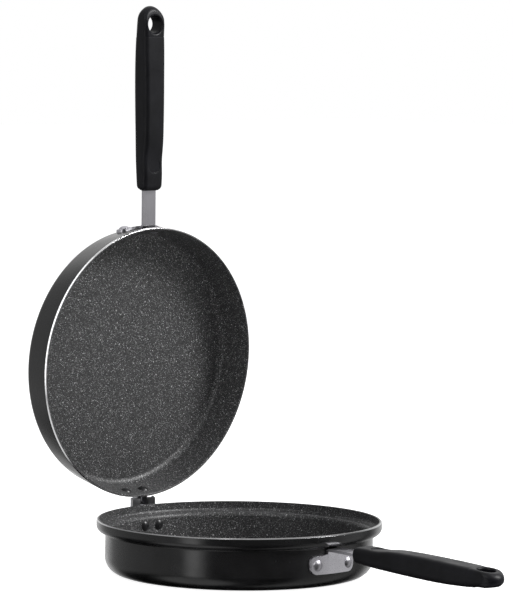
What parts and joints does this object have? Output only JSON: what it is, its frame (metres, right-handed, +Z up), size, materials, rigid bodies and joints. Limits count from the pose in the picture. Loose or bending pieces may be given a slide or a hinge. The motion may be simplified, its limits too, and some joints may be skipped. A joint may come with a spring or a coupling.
{
  "type": "double sided flip pan",
  "caption": "Two hinged round frying pans that fold together, each with a riveted steel bracket and a long grip, standing open.",
  "frame": {"origin": "centre of the lower pan's flat base, on the surface it stands on", "axes": "+Z up, +X along the lower pan's grip, hinge on the -X side, +Y to the left seen along +X"},
  "size_m": [0.5066, 0.2664, 0.5265],
  "materials": {
    "pan_outside": "dark enamel outside, grey fleck non-stick inside",
    "handle_steel": "satin",
    "grip_core": "moulded satin",
    "grip_sleeve": "soft touch",
    "pin_steel": "ground",
    "hinge_steel": "dark satin",
    "black_rivets": "black coated"
  },
  "bodies": {
    "lower_pan": {"lower_pan_body": "pan_outside", "lower_handle_bracket": "handle_steel", "lower_bracket_rivets": "handle_steel", "lower_grip_core": "grip_core", "lower_grip_sleeve": "grip_sleeve", "lower_tang_pin": "pin_steel", "hinge_lower_bracket": "hinge_steel", "hinge_lower_rivets": "black_rivets", "hinge_pin": "pin_steel"},
    "upper_pan": {"upper_pan_body": "pan_outside", "upper_handle_bracket": "handle_steel", "upper_bracket_rivets": "handle_steel", "upper_grip_core": "grip_core", "upper_grip_sleeve": "grip_sleeve", "upper_tang_pin": "pin_steel", "hinge_upper_bracket": "hinge_steel", "hinge_upper_rivets": "black_rivets"}
  },
  "joints": [
    {"name": "pan_hinge", "type": "hinge", "parent": "lower_pan", "child": "upper_pan", "pos_m": [-0.1402, 0, 0.04745], "axis": [0, 1, 0], "range_deg": [0, 86.8]}
  ]
}
